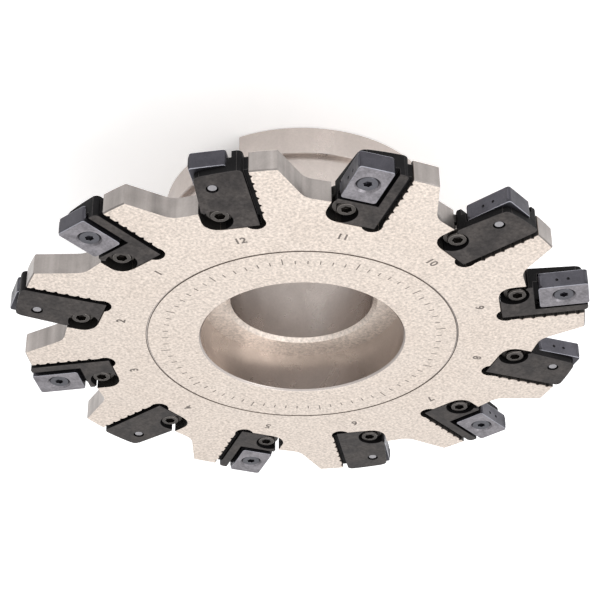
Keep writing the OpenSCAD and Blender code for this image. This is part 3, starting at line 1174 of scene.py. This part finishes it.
class CUTTER_OT_stage(bpy.types.Operator):
    """Lay the floor, hang the soft lights and set up the camera"""

    bl_idname = "cutter.stage"
    bl_label = "Stage"

    def execute(self, context):
        self.floor()
        self.light()
        self.camera()
        context.scene.view_settings.view_transform = "Standard"
        return {"FINISHED"}

    def floor(self):
        select_only(None)
        bpy.ops.mesh.primitive_plane_add(size=6, location=(0, 0, CAD_LOW.z - 0.0002))
        floor = bpy.context.object
        floor.name = "floor"
        dress(floor, floor_paint())

    def light(self):
        """Light from all round, dimmer low down and on one side, and two large soft lights."""
        setup = bpy.context.scene.cutter_stage
        world = bpy.data.worlds.new("studio")
        bpy.context.scene.world = world
        world.use_nodes = True
        background = world.node_tree.nodes["Background"]
        background.inputs["Color"].default_value = (1, 1, 1, 1)
        tree = world.node_tree
        direction = tree.nodes.new("ShaderNodeTexCoord")
        split = add_node(tree, "ShaderNodeSeparateXYZ")
        tree.links.new(direction.outputs["Generated"], split.inputs[0])
        rise = add_node(
            tree, "ShaderNodeMapRange", interpolation_type="SMOOTHSTEP",
            values={"From Max": 0.5, "To Min": setup.sky * setup.horizon, "To Max": setup.sky},
        )
        tree.links.new(split.outputs["Z"], rise.inputs["Value"])
        sideways = add_node(tree, "ShaderNodeVectorMath", operation="DOT_PRODUCT")
        tree.links.new(direction.outputs["Generated"], sideways.inputs[0])
        sideways.inputs[1].default_value = (math.cos(setup.azimuth), math.sin(setup.azimuth), 0)
        dimmed = add_node(
            tree, "ShaderNodeMapRange", interpolation_type="SMOOTHSTEP",
            values={"To Min": 1.0, "To Max": setup.dim_side},
        )
        tree.links.new(sideways.outputs["Value"], dimmed.inputs["Value"])
        strength = add_node(tree, "ShaderNodeMath", operation="MULTIPLY")
        tree.links.new(rise.outputs["Result"], strength.inputs[0])
        tree.links.new(dimmed.outputs["Result"], strength.inputs[1])
        tree.links.new(strength.outputs[0], background.inputs["Strength"])
        centre = Vector((0, 0, CAD_HIGH.z))
        for name, offset, size, share in (
            ("key_light", Vector((-0.2, 0.1, 0.9)), 0.8, 1.0),
            ("fill_light", Vector((0.0, -0.57, 0.35)), 0.5, 0.42),
        ):
            select_only(None)
            bpy.ops.object.light_add(type="AREA", location=centre + offset)
            light = bpy.context.object
            light.name = name
            light.data.shape = "DISK"
            light.data.size = size
            light.data.energy = setup.key * share
            light.rotation_euler = (-offset).to_track_quat("-Z", "Y").to_euler()

    def camera(self):
        """Looks down on the cutting face, turned so that the hub shows above the disc."""
        setup = bpy.context.scene.cutter_stage
        side, rise = setup.azimuth, setup.elevation
        sight = Vector((-math.sin(side) * math.cos(rise), math.cos(side) * math.cos(rise), -math.sin(rise)))
        level = Vector((math.cos(side), math.sin(side), 0))
        upright = level.cross(sight)
        right = math.cos(setup.roll) * level + math.sin(setup.roll) * upright
        up = -math.sin(setup.roll) * level + math.cos(setup.roll) * upright
        centre = Vector((0, 0, cutting_face()))
        eye = centre + setup.aim_right * right + setup.aim_up * up - setup.distance * sight
        bpy.ops.object.camera_add()
        camera = bpy.context.object
        camera.name = "camera"
        camera.data.lens = setup.lens
        camera.data.sensor_width = 36
        camera.data.clip_start = 0.01
        turn = Matrix((right, up, -sight)).transposed()
        camera.matrix_world = Matrix.Translation(eye) @ turn.to_4x4()
        bpy.context.scene.camera = camera


class CUTTER_PT_panel(bpy.types.Panel):
    """Lists the cutter's operators with its sizes and colours"""

    bl_idname = "CUTTER_PT_panel"
    bl_label = "Slotting Cutter"
    bl_space_type = "VIEW_3D"
    bl_region_type = "UI"
    bl_category = "Cutter"

    def draw(self, context):
        for operator in OPERATORS:
            self.layout.operator(operator.bl_idname)
        scene = context.scene
        for group in (scene.cutter_sizes, scene.cutter_colours, scene.cutter_stage):
            box = self.layout.box()
            for key in group.bl_rna.properties.keys():
                if key not in ("rna_type", "name"):
                    box.prop(group, key)


OPERATORS = (
    CUTTER_OT_body,
    CUTTER_OT_cassettes,
    CUTTER_OT_inserts,
    CUTTER_OT_insert_screws,
    CUTTER_OT_setting_screws,
    CUTTER_OT_marks,
    CUTTER_OT_stage,
)
CLASSES = (CutterSizes, CutterColours, CutterStage, *OPERATORS, CUTTER_PT_panel)


def register():
    for cls in CLASSES:
        bpy.utils.register_class(cls)
    bpy.types.Scene.cutter_sizes = bpy.props.PointerProperty(type=CutterSizes)
    bpy.types.Scene.cutter_colours = bpy.props.PointerProperty(type=CutterColours)
    bpy.types.Scene.cutter_stage = bpy.props.PointerProperty(type=CutterStage)


def unregister():
    del bpy.types.Scene.cutter_stage
    del bpy.types.Scene.cutter_colours
    del bpy.types.Scene.cutter_sizes
    for cls in reversed(CLASSES):
        bpy.utils.unregister_class(cls)


def main():
    register()
    bpy.ops.cutter.body()
    bpy.ops.cutter.cassettes()
    bpy.ops.cutter.inserts()
    bpy.ops.cutter.insert_screws()
    bpy.ops.cutter.setting_screws()
    bpy.ops.cutter.marks()
    bpy.ops.cutter.stage()
    select_only(None)


if __name__ == "__main__":
    main()
